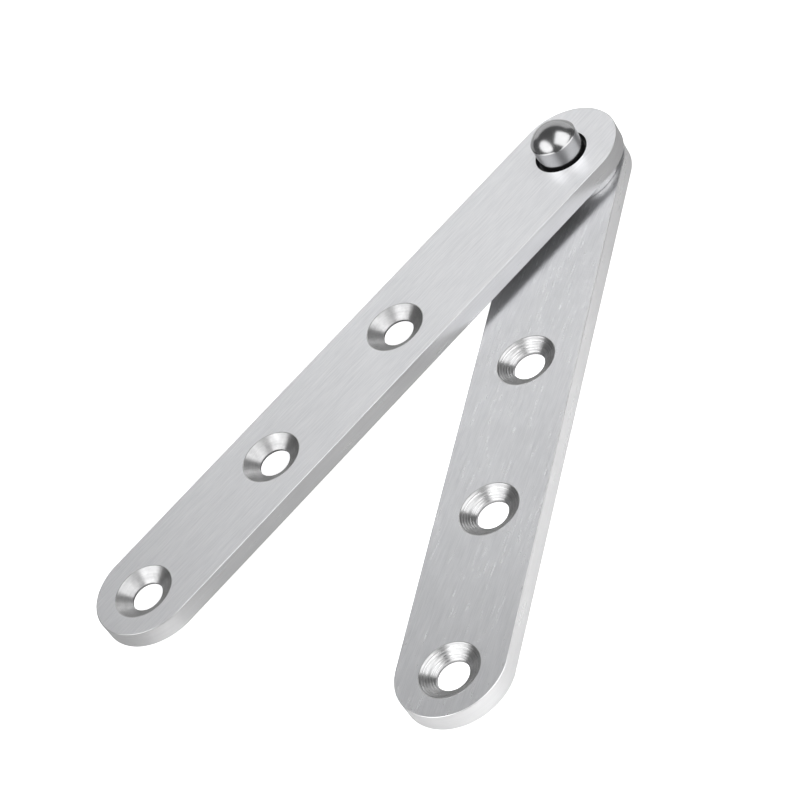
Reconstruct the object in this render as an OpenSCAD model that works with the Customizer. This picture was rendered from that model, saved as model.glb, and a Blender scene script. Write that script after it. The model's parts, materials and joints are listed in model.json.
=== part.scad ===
// Two-leaf pivot hinge. The lower leaf carries a fixed, domed pin. The upper leaf drops over the
// pin, turns on it above a spacer washer, and lifts off again.
// Origin: on the pin's axis, at the underside of the lower leaf. +X runs along the lower leaf,
// away from the pin, and +Z runs up the pin. All sizes are in millimetres.

/* [Leaves] */
// Overall length of each leaf
leaf_l = 128.5; // [110:0.5:180]
// Width of each leaf, which is also the diameter of its round ends
leaf_w = 20; // [19:0.5:22]
// Thickness of each leaf
leaf_t = 3.5; // [3.3:0.1:5]
// Distance from the near end of a leaf to the pin's axis
pivot_edge = 11; // [10:0.5:16]
// Chamfer that breaks the long edges of a leaf
edge_break = 0.2; // [0.1:0.05:0.4]
// Angle between the two leaves at rest, seen from above
open_angle = 34; // [0:1:180]

/* [Screw holes] */
// Number of screw holes in each leaf
hole_count = 3; // [2:1:4]
// Clearance diameter for the screw's shank
hole_d = 5.8; // [4:0.1:6]
// Diameter of the countersink at the face of the leaf
sink_d = 10.8; // [9:0.2:12]
// Depth of each of the two countersinks of a hole, one from each face of the leaf
sink_depth = 1.55; // [1:0.05:1.55]
// Distance from the pin's axis to the nearest screw hole
first_hole = 44.5; // [30:0.5:50]
// Distance from the far end of a leaf to the last screw hole
last_hole_edge = 9; // [7:0.5:14]

/* [Pivot] */
// Diameter of the pin
pin_d = 8.6; // [7:0.1:9]
// Length of the pin's straight side that stands above the upper leaf
pin_stand = 3.75; // [1:0.25:8]
// Height of the pin's domed tip
dome_h = 2.3; // [2:0.1:3.5]
// Chamfer at the foot of the dome
dome_break = 0.12; // [0.05:0.01:0.2]
// Radial running clearance between the pin and the upper leaf's bore
running_gap = 0.05; // [0.02:0.01:0.1]
// Diameter of the relief around the mouth of the upper leaf's bore
relief_d = 9.8; // [9.4:0.1:12]
// Depth of that relief
relief_depth = 1.4; // [0.5:0.1:2]
// Outside diameter of the spacer washer
washer_d = 18.6; // [14:0.2:19]
// Thickness of the spacer washer, which is the gap between the leaves
washer_t = 1.6; // [1:0.1:3]

/* [Pin fixing] */
// Diameter of the spigot that is pressed into the lower leaf
spigot_d = 6.6; // [5:0.1:6.8]
// Diameter of the spigot's staked end at the underside of the lower leaf
stake_d = 8.4; // [7.2:0.1:9]
// Height of the staked end
stake_h = 1.1; // [0.6:0.1:1.5]

/* [Hidden] */
$fn = 96;
// Extra length of a cutting tool past the face that it breaks through
over = 1;
end_r = leaf_w / 2;
// Centres of a leaf's two round ends, along the leaf from the pin's axis
near_x = end_r - pivot_edge;
far_x = leaf_l - pivot_edge - end_r;
last_hole = leaf_l - pivot_edge - last_hole_edge;
hole_pitch = (last_hole - first_hole) / (hole_count - 1);
upper_z = leaf_t + washer_t;
pin_r = pin_d / 2;
pin_shoulder_z = upper_z + leaf_t + pin_stand;
bore_d = pin_d + 2 * running_gap;
// Radius of the sphere that the dome is cut from, from its rim's radius and its height
dome_rim_r = pin_r - dome_break;
dome_r = (pow(dome_rim_r, 2) + pow(dome_h, 2)) / (2 * dome_h);
dome_half_angle = asin(dome_rim_r / dome_r);
dome_steps = 24;
dome_profile = [
    for (i = [0 : dome_steps])
        let (a = dome_half_angle * (1 - i / dome_steps))
            [dome_r * sin(a), pin_shoulder_z + dome_break + dome_h - dome_r * (1 - cos(a))]
];

// Round end of a leaf blank, with both rims chamfered
module round_end(x) {
    translate([x, 0, 0])
        rotate_extrude()
            polygon([
                [0, 0],
                [end_r - edge_break, 0],
                [end_r, edge_break],
                [end_r, leaf_t - edge_break],
                [end_r - edge_break, leaf_t],
                [0, leaf_t]
            ]);
}

// Straight stretch of a leaf blank, its cross-section extruded along the leaf
module straight_bar() {
    translate([near_x, 0, 0])
        rotate([90, 0, 90])
            linear_extrude(height = far_x - near_x)
                polygon([
                    [edge_break - end_r, 0],
                    [end_r - edge_break, 0],
                    [end_r, edge_break],
                    [end_r, leaf_t - edge_break],
                    [end_r - edge_break, leaf_t],
                    [edge_break - end_r, leaf_t],
                    [-end_r, leaf_t - edge_break],
                    [-end_r, edge_break]
                ]);
}

// Screw hole that is countersunk from both faces, down to a short land
module screw_hole() {
    slope = (sink_d - hole_d) / 2 / sink_depth;
    mouth_r = sink_d / 2 + over * slope;
    rotate_extrude()
        polygon([
            [0, -over],
            [mouth_r, -over],
            [hole_d / 2, sink_depth],
            [hole_d / 2, leaf_t - sink_depth],
            [mouth_r, leaf_t + over],
            [0, leaf_t + over]
        ]);
}

module leaf_blank() {
    difference() {
        union() {
            round_end(near_x);
            straight_bar();
            round_end(far_x);
        }
        for (i = [0 : hole_count - 1])
            translate([first_hole + i * hole_pitch, 0, 0])
                screw_hole();
    }
}

module lower_leaf() {
    color("silver")
        difference() {
            leaf_blank();
            translate([0, 0, -over])
                cylinder(d = spigot_d, h = leaf_t + 2 * over);
            cylinder(d1 = stake_d, d2 = spigot_d, h = stake_h);
        }
}

module pivot_pin() {
    color("gainsboro")
        rotate_extrude()
            polygon(concat(
                [
                    [0, 0],
                    [stake_d / 2, 0],
                    [spigot_d / 2, stake_h],
                    [spigot_d / 2, leaf_t],
                    [pin_r, leaf_t],
                    [pin_r, pin_shoulder_z]
                ],
                dome_profile
            ));
}

module spacer_washer() {
    color("lightgray")
        translate([0, 0, leaf_t])
            difference() {
                cylinder(d = washer_d, h = washer_t);
                translate([0, 0, -over])
                    cylinder(d = bore_d, h = washer_t + 2 * over);
            }
}

module upper_leaf() {
    color("silver")
        translate([0, 0, upper_z])
            rotate([0, 0, -open_angle])
                difference() {
                    leaf_blank();
                    translate([0, 0, -over])
                        cylinder(d = bore_d, h = leaf_t + 2 * over);
                    translate([0, 0, leaf_t - relief_depth])
                        cylinder(d = relief_d, h = relief_depth + over);
                }
}

lower_leaf();
pivot_pin();
spacer_washer();
upper_leaf();
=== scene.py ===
"""Looks for the two-leaf pivot hinge: brushed leaves, a polished pin and a bright spacer washer."""

import json
import math

import bmesh
import bpy
from mathutils import Matrix, Quaternion, Vector

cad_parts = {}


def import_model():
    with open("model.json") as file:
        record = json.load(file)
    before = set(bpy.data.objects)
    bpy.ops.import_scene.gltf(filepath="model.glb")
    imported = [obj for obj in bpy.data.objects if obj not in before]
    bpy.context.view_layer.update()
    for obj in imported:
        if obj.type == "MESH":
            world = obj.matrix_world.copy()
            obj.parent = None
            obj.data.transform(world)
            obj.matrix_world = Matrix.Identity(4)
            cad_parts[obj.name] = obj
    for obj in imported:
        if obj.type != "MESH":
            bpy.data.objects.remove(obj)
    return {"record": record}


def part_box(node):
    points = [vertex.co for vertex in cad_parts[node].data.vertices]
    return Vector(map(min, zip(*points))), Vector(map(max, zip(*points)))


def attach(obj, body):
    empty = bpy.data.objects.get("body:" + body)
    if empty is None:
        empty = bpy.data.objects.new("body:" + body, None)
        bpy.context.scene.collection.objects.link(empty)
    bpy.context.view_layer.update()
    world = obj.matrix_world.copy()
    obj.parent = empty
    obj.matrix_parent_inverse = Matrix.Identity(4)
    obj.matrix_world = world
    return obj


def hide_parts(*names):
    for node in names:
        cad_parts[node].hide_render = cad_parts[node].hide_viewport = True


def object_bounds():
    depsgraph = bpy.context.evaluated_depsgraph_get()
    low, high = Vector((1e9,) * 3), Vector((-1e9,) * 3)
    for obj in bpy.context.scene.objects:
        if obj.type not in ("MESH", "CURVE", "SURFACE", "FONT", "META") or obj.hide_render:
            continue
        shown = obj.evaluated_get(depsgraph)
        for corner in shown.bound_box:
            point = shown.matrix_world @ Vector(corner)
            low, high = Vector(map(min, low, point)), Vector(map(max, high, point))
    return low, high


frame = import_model()
cad_box = [list(map(float, corner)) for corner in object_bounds()]

MM = 0.001

# ---- Sizes read from the frame -------------------------------------------------------------------

mounts = {m["name"]: m for m in frame["record"]["mounts"]}
lower_low, lower_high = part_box("lower_leaf")
upper_low, upper_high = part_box("upper_leaf")
pin_low, pin_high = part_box("pivot_pin")
washer_low, washer_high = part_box("spacer_washer")

leaf_t = lower_high.z - lower_low.z
end_r = (lower_high.y - lower_low.y) / 2
near_x = lower_low.x + end_r
far_x = lower_high.x - end_r
pin_r = (pin_high.x - pin_low.x) / 2
washer_r = (washer_high.x - washer_low.x) / 2
HOLE_NAMES = ("near", "middle", "far")
hole_xs = [mounts[f"lower_leaf_screw_{n}"]["pos_m"][0] for n in HOLE_NAMES]
hole_r = mounts["lower_leaf_screw_near"]["dims"]["r_mm"] * MM
land_h = mounts["lower_leaf_screw_near"]["dims"]["length_mm"] * MM
upper_near = mounts["upper_leaf_screw_near"]["pos_m"]
open_angle = math.atan2(upper_near[1], upper_near[0])

# ---- Sizes that the frame doesn't hold, as in the CAD source -------------------------------------

SINK_R = 5.4 * MM            # countersink at the face
EDGE_R = 0.15 * MM           # rounding of a leaf's outer edges
RIM_BREAK = 0.07 * MM        # tiny bevel around the mouth of a bore
RIM_ROUND = 0.11 * MM        # reach of the rounding at the mouth of a countersink
RUNNING_GAP = 0.05 * MM      # pin to bore, radial
RELIEF_R = 4.9 * MM          # relief around the mouth of the upper leaf's bore
RELIEF_DEPTH = 1.4 * MM
SPIGOT_R = 3.3 * MM          # the pin's pressed end
STAKE_R = 4.2 * MM           # its staked end, flush with the underside
STAKE_H = 1.1 * MM
PIN_STAND = 3.75 * MM        # straight side above the upper leaf
STAKE_RECESS = 0.03 * MM     # dish in the middle of the staked end
DOME_BREAK = 0.12 * MM       # bevel between the pin's side and its dome
WASHER_BREAK = 0.12 * MM     # bevel of the washer's outer edges
bore_r = pin_r + RUNNING_GAP

# ---- Mesh resolution -----------------------------------------------------------------------------

END_STEPS = 72               # segments along one round end
HOLE_STEPS = 96              # segments around a hole, the pin and the washer
EDGE_STEPS = 5               # segments across a rounded edge
DOME_STEPS = 48              # rings up the pin's dome
RIM_STEPS = 4                # segments across the rounding of a countersink's mouth
TURN_PITCH = 0.48 * MM       # turning marks on the countersinks
TURN_STEPS = 4               # rings per turning mark
CREASE = math.radians(28)    # edges that bend more than this stay sharp


# ---- Mesh building -------------------------------------------------------------------------------

class Builder:
    """Collects a mesh with smooth faces, a material index each and UVs in metres, U along the grain."""

    def __init__(self):
        self.bm = bmesh.new()
        self.uv = self.bm.loops.layers.uv.new("grain")

    def face(self, verts, material, uvs):
        face = self.bm.faces.new(verts)
        face.material_index = material
        face.smooth = True
        for loop, uv in zip(face.loops, uvs):
            loop[self.uv].uv = uv

    def bridge(self, loop_a, loop_b, material, v_a, v_b, length):
        """Quads between two closed loops, with U along the loops and V across them."""
        count = len(loop_a)
        for i in range(count):
            j = (i + 1) % count
            u_i, u_j = length * i / count, length * (i + 1) / count
            self.face((loop_a[i], loop_a[j], loop_b[j], loop_b[i]), material,
                      ((u_i, v_a), (u_j, v_a), (u_j, v_b), (u_i, v_b)))

    def lathe(self, centre_x, profile, material):
        """Revolves (radius, height) points around an upright axis. Returns the first and last rings."""
        turns = [2 * math.pi * i / HOLE_STEPS for i in range(HOLE_STEPS)]
        rings = [[self.bm.verts.new((centre_x + r * math.cos(a), r * math.sin(a), z)) for a in turns]
                 for r, z in profile]
        girth = 2 * math.pi * max(r for r, z in profile)
        v = 0
        for k in range(len(rings) - 1):
            step = math.dist(profile[k], profile[k + 1])
            self.bridge(rings[k], rings[k + 1], material, v, v + step, girth)
            v += step
        return rings[0], rings[-1]

    def cap(self, loop, height, material):
        """Closes a small ring with a fan of triangles."""
        centre = self.bm.verts.new((0, 0, height))
        for i in range(len(loop)):
            ends = (loop[i], loop[(i + 1) % len(loop)], centre)
            self.face(ends, material, [v.co.xy for v in ends])

    def fill(self, outer, holes, material, up):
        """A flat face between an outline and the holes in it, with the grain along X."""
        edges = []
        for loop in (outer, *holes):
            edges += [self.bm.edges.get((loop[i - 1], loop[i])) for i in range(len(loop))]
        made = bmesh.ops.triangle_fill(self.bm, use_beauty=True, edges=edges)
        for face in (g for g in made["geom"] if isinstance(g, bmesh.types.BMFace)):
            face.material_index = material
            face.smooth = True
            face.normal_update()
            if (face.normal.z > 0) != up:
                face.normal_flip()
            for loop in face.loops:
                loop[self.uv].uv = loop.vert.co.xy

    def finish(self, name, materials, turn=0.0, lift=0.0):
        """Makes the mesh into an object, turned about Z and lifted, with its creases kept sharp."""
        bmesh.ops.recalc_face_normals(self.bm, faces=self.bm.faces)
        for edge in self.bm.edges:
            if edge.calc_face_angle(0) > CREASE:
                edge.smooth = False
        self.bm.transform(Matrix.Translation((0, 0, lift)) @ Matrix.Rotation(turn, 4, "Z"))
        mesh = bpy.data.meshes.new(name)
        self.bm.to_mesh(mesh)
        self.bm.free()
        for material in materials:
            mesh.materials.append(material)
        piece = bpy.data.objects.new(name, mesh)
        bpy.context.scene.collection.objects.link(piece)
        weighted = piece.modifiers.new("weighted_normals", "WEIGHTED_NORMAL")
        weighted.keep_sharp = True
        weighted.weight = 80
        return piece


def stadium(builder, inset, height):
    """The leaf's outline, moved in by inset, at a height."""
    radius = end_r - inset
    verts = []
    for centre, start in ((far_x, -math.pi / 2), (near_x, math.pi / 2)):
        for i in range(END_STEPS + 1):
            a = start + math.pi * i / END_STEPS
            x, y = centre + radius * math.cos(a), radius * math.sin(a)
            verts.append(builder.bm.verts.new((x, y, height)))
    return verts


def edge_profile():
    """(inset, height) points up a leaf's side, with both edges rounded."""
    arc = [EDGE_R * (1 - math.sin(math.pi / 2 * i / EDGE_STEPS)) for i in range(EDGE_STEPS + 1)]
    lower = list(zip(arc, arc[::-1]))
    return lower + [(inset, leaf_t - height) for inset, height in lower[::-1]]


def sink_profile(marks):
    """One countersink from the rounding of its mouth down to the land, with turning marks."""
    mouth, foot = Vector((SINK_R, leaf_t)), Vector((hole_r, (leaf_t + land_h) / 2))
    wall = (foot - mouth).normalized()
    outwards = Vector((-wall.y, wall.x))
    start, end = mouth + Vector((RIM_ROUND, 0)), mouth + wall * RIM_ROUND
    points = []
    for i in range(RIM_STEPS + 1):
        t = i / RIM_STEPS
        points.append(start.lerp(mouth, t).lerp(mouth.lerp(end, t), t))
    length = (foot - end).length
    steps = round(length / TURN_PITCH) * TURN_STEPS
    for i in range(1, steps):
        wave = (1 - math.cos(2 * math.pi * i / TURN_STEPS)) / 2
        points.append(end + wall * (length * i / steps) + outwards * marks * wave)
    points.append(foot)
    return [tuple(point) for point in points]


def screw_hole(builder, x, marks, material):
    """A hole countersunk from both faces. Returns its mouths in the underside and the top face."""
    top = sink_profile(marks)
    bottom = [(r, leaf_t - z) for r, z in top]
    return builder.lathe(x, bottom + top[::-1], material)


def leaf(name, marks, bore, materials, turn, lift):
    """A leaf with its grain along its length. marks: depth of the turning marks in its screw holes."""
    face_slot, side_slot, sink_slot, bore_slot = range(len(materials))
    builder = Builder()
    profile = edge_profile()
    loops = [stadium(builder, inset, height) for inset, height in profile]
    girth = 2 * math.pi * end_r + 2 * (far_x - near_x)
    for k in range(len(loops) - 1):
        builder.bridge(loops[k], loops[k + 1], side_slot, profile[k][1], profile[k + 1][1], girth)
    mouths = [screw_hole(builder, x, marks, sink_slot) for x in hole_xs]
    mouths.append(builder.lathe(0, bore, bore_slot))
    builder.fill(loops[0], [m[0] for m in mouths], face_slot, up=False)
    builder.fill(loops[-1], [m[1] for m in mouths], face_slot, up=True)
    return builder.finish(name, materials, turn, lift)


# ---- Materials -----------------------------------------------------------------------------------

# Linear colours, each pair from the darkest to the lightest.
# The lower leaf's faces are the same steel as the upper leaf's, tinted darker as painted shade.
LOWER_FACE_PAINTED_SHADE_TINTS = ((0.51, 0.517, 0.533), (0.61, 0.613, 0.625))
UPPER_FACE_TINTS = ((0.63, 0.637, 0.655), (0.745, 0.748, 0.76))
# Both leaves' sides are the same steel: the lower side's near-white tints are painted light, the upper
# side's darker tints painted shade.
LOWER_EDGE_PAINTED_LIGHT_TINTS = ((0.88, 0.88, 0.885), (0.94, 0.94, 0.945))
UPPER_EDGE_PAINTED_SHADE_TINTS = ((0.6, 0.6, 0.605), (0.66, 0.66, 0.665))
LOWER_SINK_TINTS = ((0.25, 0.25, 0.253), (0.66, 0.66, 0.663))
UPPER_SINK_TINTS = ((0.36, 0.36, 0.363), (0.52, 0.52, 0.523))
# Near-black tints for the bores: painted shade for the dark gap around the pin.
BORE_PAINTED_SHADE_TINTS = ((0.06, 0.06, 0.06), (0.12, 0.12, 0.12))
WASHER_TINTS = ((0.6, 0.6, 0.605), (0.72, 0.72, 0.72))
PIN_TINTS = ((0.39, 0.39, 0.395), (0.44, 0.44, 0.445))

NOISE_LOW, NOISE_HIGH = 0.3, 0.7    # where most of a noise's values lie


def metal(name, colour, roughness, anisotropic=0.0):
    """A metal Principled material. anisotropic: how far its highlights stretch across the grain."""
    material = bpy.data.materials.new(name)
    material.use_nodes = True
    tree = material.node_tree
    shader = tree.nodes["Principled BSDF"]
    shader.inputs["Base Color"].default_value = (*colour, 1)
    shader.inputs["Metallic"].default_value = 1
    shader.inputs["Roughness"].default_value = roughness
    if anisotropic:
        shader.inputs["Anisotropic"].default_value = anisotropic
        shader.inputs["Anisotropic Rotation"].default_value = 0.25
        tangent = tree.nodes.new("ShaderNodeTangent")
        tangent.direction_type = "UV_MAP"
        tangent.uv_map = "grain"
        tree.links.new(tangent.outputs["Tangent"], shader.inputs["Tangent"])
    return material, tree, shader


def grain_space(tree, size, offset=(0, 0, 0), angle=0.0, space="Object"):
    """Coordinates in the object or its UVs, turned about Z and counted in features of this size in mm."""
    source = tree.nodes.new("ShaderNodeTexCoord")
    mapping = tree.nodes.new("ShaderNodeMapping")
    mapping.vector_type = "TEXTURE"
    mapping.inputs["Rotation"].default_value = (0, 0, angle)
    mapping.inputs["Scale"].default_value = [side * MM for side in size]
    mapping.inputs["Location"].default_value = [step * MM for step in offset]
    tree.links.new(source.outputs[space], mapping.inputs["Vector"])
    return mapping.outputs["Vector"]


def noise(tree, vector, detail=2, roughness=0.5):
    node = tree.nodes.new("ShaderNodeTexNoise")
    node.inputs["Scale"].default_value = 1
    node.inputs["Detail"].default_value = detail
    node.inputs["Roughness"].default_value = roughness
    tree.links.new(vector, node.inputs["Vector"])
    return node.outputs["Fac"]


def remap(tree, value, low, high):
    """A noise's value, stretched to run from low to high."""
    node = tree.nodes.new("ShaderNodeMapRange")
    node.inputs["From Min"].default_value = NOISE_LOW
    node.inputs["From Max"].default_value = NOISE_HIGH
    node.inputs["To Min"].default_value = low
    node.inputs["To Max"].default_value = high
    tree.links.new(value, node.inputs["Value"])
    return node.outputs["Result"]


def blend(tree, a, b, share_b):
    """A value between two others."""
    node = tree.nodes.new("ShaderNodeMix")
    node.inputs["Factor"].default_value = share_b
    tree.links.new(a, node.inputs["A"])
    tree.links.new(b, node.inputs["B"])
    return node.outputs["Result"]


def tint(tree, shader, value, dark, light):
    """Colours the shader from dark to light by a noise's value."""
    node = tree.nodes.new("ShaderNodeMix")
    node.data_type = "RGBA"
    colours = [socket for socket in node.inputs if socket.type == "RGBA"]
    colours[0].default_value = (*dark, 1)
    colours[1].default_value = (*light, 1)
    tree.links.new(remap(tree, value, 0, 1), node.inputs["Factor"])
    colour = next(socket for socket in node.outputs if socket.type == "RGBA")
    tree.links.new(colour, shader.inputs["Base Color"])


def roughen(tree, shader, value, rough_dark, rough_light):
    """Sets the shader's roughness by a noise's value."""
    tree.links.new(remap(tree, value, rough_dark, rough_light), shader.inputs["Roughness"])


def bump(tree, shader, height, strength, depth):
    """Bumps as deep as this, in mm."""
    node = tree.nodes.new("ShaderNodeBump")
    node.inputs["Strength"].default_value = strength
    node.inputs["Distance"].default_value = depth * MM
    tree.links.new(height, node.inputs["Height"])
    tree.links.new(node.outputs["Normal"], shader.inputs["Normal"])


def brushed(name, seed, angle, dark, light, roughness):
    """Satin steel: short fine scratches along the grain, over faint broad bands and clouds."""
    material, tree, shader = metal(name, light, roughness, anisotropic=0.4)
    hair = noise(tree, grain_space(tree, (3.6, 0.17, 0.17), (seed, seed, 0), angle), detail=3)
    band = noise(tree, grain_space(tree, (22, 0.9, 0.9), (seed, -seed, 0), angle))
    cloud = noise(tree, grain_space(tree, (14, 9, 9), (-seed, seed, 0), angle), detail=3)
    grain = blend(tree, hair, band, 0.12)
    shade = blend(tree, grain, cloud, 0.15)
    tint(tree, shader, shade, dark, light)
    roughen(tree, shader, shade, roughness + 0.05, roughness - 0.05)
    bump(tree, shader, hair, 0.35, 0.018 * roughness)
    return material


def edge_metal(name, seed, angle, dark, light):
    """The smoother side of a leaf, with faint marks along it."""
    material, tree, shader = metal(name, light, 0.3)
    draw = noise(tree, grain_space(tree, (9, 9, 0.3), (seed, 0, seed), angle))
    cloud = noise(tree, grain_space(tree, (6, 6, 3), (seed, 0, 0), angle), detail=3)
    shade = blend(tree, draw, cloud, 0.4)
    tint(tree, shader, shade, dark, light)
    roughen(tree, shader, shade, 0.34, 0.26)
    bump(tree, shader, draw, 0.2, 0.004)
    return material


def turned(name, seed, dark, light, rough_low, rough_high, rings=0.3):
    """Machined metal of a countersink, a bore or the washer; a bore's near-black tints are painted shade.
    rings: how strong its tool rings are.
    """
    material, tree, shader = metal(name, light, rough_low, anisotropic=0.5)
    patch = noise(tree, grain_space(tree, (1.1, 1.1, 1.1), (seed, seed, seed)), detail=3, roughness=0.6)
    ring = noise(tree, grain_space(tree, (7, 0.17, 1), (seed, seed, 0), space="UV"), roughness=0.6)
    shade = blend(tree, patch, ring, rings)
    tint(tree, shader, shade, dark, light)
    roughen(tree, shader, shade, rough_high, rough_low)
    bump(tree, shader, ring, rings, 0.012)
    return material


def polished(name, dark, light):
    """The polished pin, with the faintest hairlines and haze."""
    material, tree, shader = metal(name, light, 0.2)
    haze = noise(tree, grain_space(tree, (3, 3, 3)), detail=3)
    hair = noise(tree, grain_space(tree, (0.5, 0.5, 3), (3, 3, 0)))
    tint(tree, shader, haze, dark, light)
    roughen(tree, shader, haze, 0.24, 0.18)
    bump(tree, shader, hair, 0.03, 0.003)
    return material


# ---- Pieces --------------------------------------------------------------------------------------
# A leaf's materials are those of its faces, its side, its screw holes and its bore, in this order.

def lower_leaf():
    bore = [(STAKE_R, 0), (SPIGOT_R, STAKE_H), (SPIGOT_R, leaf_t - RIM_BREAK),
            (SPIGOT_R + RIM_BREAK, leaf_t)]
    skew = math.radians(-7)
    # The lower leaf's face tints are darker than the upper leaf's: painted shade.
    materials = [brushed("brushed_lower_painted_shade", 3.1, skew, *LOWER_FACE_PAINTED_SHADE_TINTS, 0.31),
                 # The side's near-white tints are painted light.
                 edge_metal("edge_lower_painted_light", 1.7, 0, *LOWER_EDGE_PAINTED_LIGHT_TINTS),
                 turned("sink_lower", 2.3, *LOWER_SINK_TINTS, 0.24, 0.36, rings=0.85),
                 # The bore's near-black tints are painted shade.
                 turned("bore_lower_painted_shade", 3.3, *BORE_PAINTED_SHADE_TINTS, 0.45, 0.6)]
    piece = leaf("lower_leaf_brushed", 0.032 * MM, bore, materials, 0, lower_low.z)
    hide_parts("lower_leaf")
    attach(piece, "root")
    return piece


def upper_leaf():
    ledge = leaf_t - RELIEF_DEPTH
    bore = [(bore_r + RIM_BREAK, 0), (bore_r, RIM_BREAK), (bore_r, ledge), (RELIEF_R, ledge),
            (RELIEF_R, leaf_t - RIM_BREAK), (RELIEF_R + RIM_BREAK, leaf_t)]
    materials = [brushed("brushed_upper", 7.9, open_angle, *UPPER_FACE_TINTS, 0.43),
                 # The side's darker tints are painted shade.
                 edge_metal("edge_upper_painted_shade", 5.3, open_angle, *UPPER_EDGE_PAINTED_SHADE_TINTS),
                 turned("sink_upper", 4.4, *UPPER_SINK_TINTS, 0.28, 0.38, rings=0.4),
                 # The bore's near-black tints are painted shade.
                 turned("bore_upper_painted_shade", 5.4, *BORE_PAINTED_SHADE_TINTS, 0.45, 0.6)]
    piece = leaf("upper_leaf_brushed", 0.01 * MM, bore, materials, open_angle, upper_low.z)
    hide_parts("upper_leaf")
    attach(piece, "upper")
    return piece


def pivot_pin():
    shoulder = upper_high.z + PIN_STAND
    rim_r = pin_r - DOME_BREAK
    height = pin_high.z - shoulder - DOME_BREAK
    dome_r = (rim_r ** 2 + height ** 2) / (2 * height)
    half_angle = math.asin(rim_r / dome_r)
    profile = [(STAKE_R * 0.05, STAKE_RECESS), (STAKE_R * 0.9, STAKE_RECESS),
               (STAKE_R * 0.98, STAKE_RECESS / 3), (SPIGOT_R, STAKE_H), (SPIGOT_R, lower_high.z),
               (pin_r - RIM_BREAK, lower_high.z), (pin_r, lower_high.z + RIM_BREAK), (pin_r, shoulder)]
    for i in range(DOME_STEPS):
        a = half_angle * (1 - i / DOME_STEPS)
        profile.append((dome_r * math.sin(a), pin_high.z - dome_r * (1 - math.cos(a))))
    builder = Builder()
    first, last = builder.lathe(0, profile, 0)
    builder.cap(first, STAKE_RECESS, 0)
    builder.cap(last, pin_high.z, 0)
    piece = builder.finish("pivot_pin_polished", [polished("polished_pin", *PIN_TINTS)])
    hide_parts("pivot_pin")
    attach(piece, "root")
    return piece


def spacer_washer():
    bottom, top, flat_r = washer_low.z, washer_high.z, washer_r - WASHER_BREAK
    profile = [(bore_r, bottom), (bore_r, top), (flat_r, top), (washer_r, top - WASHER_BREAK),
               (washer_r, bottom + WASHER_BREAK), (flat_r, bottom), (bore_r, bottom)]
    builder = Builder()
    builder.lathe(0, profile, 0)
    bmesh.ops.remove_doubles(builder.bm, verts=builder.bm.verts, dist=0.001 * MM)
    material = turned("washer_turned", 6.1, *WASHER_TINTS, 0.25, 0.35)
    piece = builder.finish("spacer_washer_turned", [material])
    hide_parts("spacer_washer")
    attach(piece, "washer")
    return piece


leaves = [lower_leaf(), upper_leaf()]
pin = pivot_pin()
washer = spacer_washer()

# ---- Stage: floor, light and camera --------------------------------------------------------------

low, high = (Vector(corner) for corner in cad_box)
size = high - low
leaf_l = lower_high.x - lower_low.x
middle = (low + high) / 2
far_end = Matrix.Rotation(open_angle, 3, "Z") @ Vector((far_x, 0, 0))    # of the upper leaf

FLOOR_SPAN = 60 * leaf_l
FLOOR_GAP = 0.05 * MM        # keeps the floor clear of the underside
SOFTBOX_DISTANCE = 6 * leaf_l
CARD_HEIGHT = 0.04 * leaf_l  # of the lowest cards over the floor


def direction(azimuth, elevation):
    """Unit vector towards an azimuth, counted from +X, and an elevation, both in degrees."""
    a, e = math.radians(azimuth), math.radians(elevation)
    return Vector((math.cos(e) * math.cos(a), math.cos(e) * math.sin(a), math.sin(e)))


def camera_ray(tree):
    return tree.nodes.new("ShaderNodeLightPath").outputs["Is Camera Ray"]


def floor():
    """A pale sheet that the camera sees as a white light table, so it shows hardly any shadow."""
    bpy.ops.mesh.primitive_plane_add(size=FLOOR_SPAN, location=(middle.x, middle.y, low.z - FLOOR_GAP))
    plane = bpy.context.object
    plane.name = "floor"
    material = bpy.data.materials.new("pale_floor")
    material.use_nodes = True
    tree = material.node_tree
    shader = tree.nodes["Principled BSDF"]
    shader.inputs["Base Color"].default_value = (0.56, 0.56, 0.56, 1)
    shader.inputs["Roughness"].default_value = 0.9
    shader.inputs["Specular IOR Level"].default_value = 0
    glow = tree.nodes.new("ShaderNodeEmission")
    glow.inputs["Strength"].default_value = 0.92
    both = tree.nodes.new("ShaderNodeAddShader")
    pick = tree.nodes.new("ShaderNodeMixShader")
    tree.links.new(shader.outputs["BSDF"], both.inputs[0])
    tree.links.new(glow.outputs["Emission"], both.inputs[1])
    tree.links.new(camera_ray(tree), pick.inputs["Fac"])
    tree.links.new(shader.outputs["BSDF"], pick.inputs[1])
    tree.links.new(both.outputs["Shader"], pick.inputs[2])
    tree.links.new(pick.outputs["Shader"], tree.nodes["Material Output"].inputs["Surface"])
    plane.data.materials.append(material)
    return plane


def area_light(name, shape, width, height, radiance, receivers):
    """A flat light. receivers: the only things that it lights and that stand in its way."""
    light = bpy.data.lights.new(name, "AREA")
    light.shape = shape
    light.size = width
    light.size_y = height
    light.energy = radiance * math.pi * width * height * (math.pi / 4 if shape == "ELLIPSE" else 1)
    lamp = bpy.data.objects.new(name, light)
    lamp.visible_camera = False
    if receivers:
        lit = bpy.data.collections.new(f"{name}_receivers")
        for thing in receivers:
            lit.objects.link(thing)
        lamp.light_linking.receiver_collection = lit
        lamp.light_linking.blocker_collection = lit
    bpy.context.scene.collection.objects.link(lamp)
    return lamp


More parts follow.
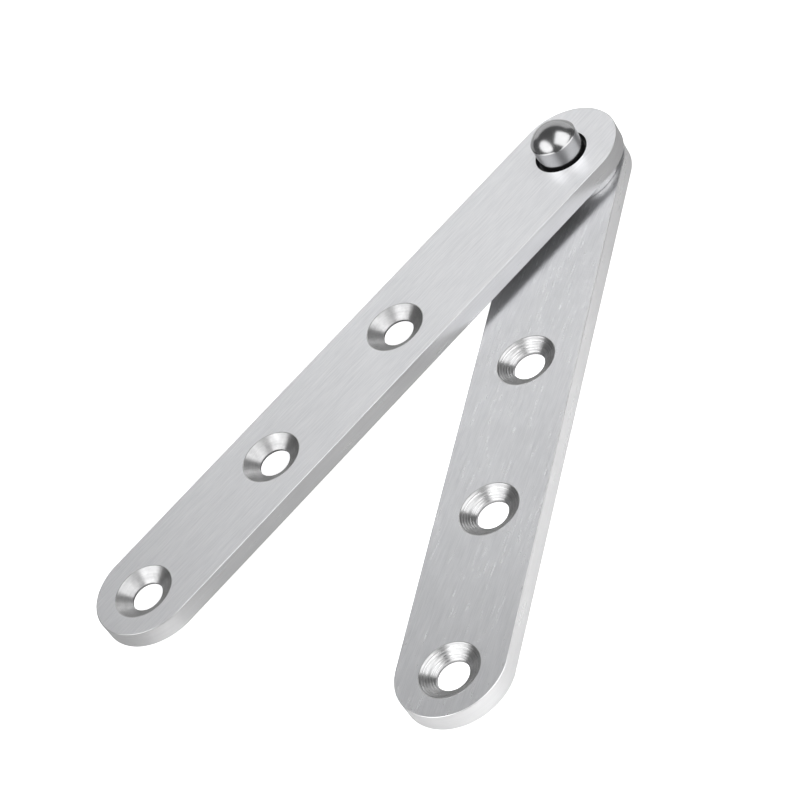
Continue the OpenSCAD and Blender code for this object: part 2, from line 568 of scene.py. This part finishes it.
def softbox(name, azimuth, elevation, width, height, radiance, receivers=None, shape="RECTANGLE"):
    """A far light that faces the object and spans width by height, in degrees."""
    spans = [2 * SOFTBOX_DISTANCE * math.tan(math.radians(span / 2)) for span in (width, height)]
    lamp = area_light(name, shape, *spans, radiance, receivers)
    towards = direction(azimuth, elevation)
    lamp.location = middle + towards * SOFTBOX_DISTANCE
    lamp.rotation_euler = towards.to_track_quat("Z", "Y").to_euler()


def floor_card(name, x, y, length, width, height, radiance):
    """A low card that lights only the floor, which the leaves' sides reflect."""
    lamp = area_light(name, "RECTANGLE", length, width, radiance, [ground])
    lamp.location = (x, y, height)


def world(level):
    """White behind the object, and a dim studio to everything that it reflects."""
    sky = bpy.data.worlds.new("studio")
    sky.use_nodes = True
    tree = sky.node_tree
    strength = tree.nodes.new("ShaderNodeMapRange")
    strength.inputs["To Min"].default_value = level
    strength.inputs["To Max"].default_value = 1
    tree.links.new(camera_ray(tree), strength.inputs["Value"])
    tree.nodes["Background"].inputs["Color"].default_value = (1, 1, 1, 1)
    tree.links.new(strength.outputs["Result"], tree.nodes["Background"].inputs["Strength"])
    bpy.context.scene.world = sky


def camera():
    """The photo's view: aimed at a point given as shares of the object's box, then rolled."""
    aim_share = (0.4827, 0.5945, 0.3385)
    azimuth, elevation, roll = 37.94, 40.42, 34.75
    distance = 3.96 * leaf_l
    data = bpy.data.cameras.new("camera")
    data.sensor_width = 36
    data.lens = 132.8
    data.clip_end = 100
    aim = Vector([lo + share * side for lo, share, side in zip(low, aim_share, size)])
    towards = direction(azimuth, elevation)
    view = bpy.data.objects.new("camera", data)
    view.location = aim + towards * distance
    view.rotation_mode = "QUATERNION"
    tilt = Quaternion((0, 0, 1), math.radians(-roll))
    view.rotation_quaternion = towards.to_track_quat("Z", "Y") @ tilt
    bpy.context.scene.collection.objects.link(view)
    bpy.context.scene.camera = view


ground = floor()
world(0.14)

BACK = (-161, 34, 50, 38)    # azimuth, elevation, width and height in degrees, as for every softbox
softbox("left_softbox", -43, 47, 66, 42, 2.2, shape="ELLIPSE")
softbox("right_softbox", 90, 50, 58, 54, 2.1)
softbox("back_softbox", *BACK, 1.02, [*leaves, washer])
for piece in leaves:
    softbox(f"{piece.name}_fill", *BACK, 0.08, [piece])
softbox("top_softbox", -85, 82, 44, 40, 1.0, [*leaves, washer, ground])
softbox("pin_backdrop", -163, 16, 88, 38, 0.7, [pin])

floor_card("outer_card", 0.62 * leaf_l, end_r, 0.8 * leaf_l, 0.2 * leaf_l, 0.28 * leaf_l, 1.5)
floor_card("wedge_card", 0.28 * leaf_l, -1.05 * end_r, 0.14 * leaf_l, 0.8 * end_r, CARD_HEIGHT, 0.7)
floor_card("lower_end_card", far_x + end_r, 1.1 * end_r, end_r, end_r, CARD_HEIGHT, 0.6)
floor_card("upper_end_card", far_end.x + 1.6 * end_r, far_end.y + end_r, 1.5 * end_r, 1.5 * end_r,
           1.5 * CARD_HEIGHT, 1.6)

camera()
bpy.context.scene.view_settings.view_transform = "Standard"
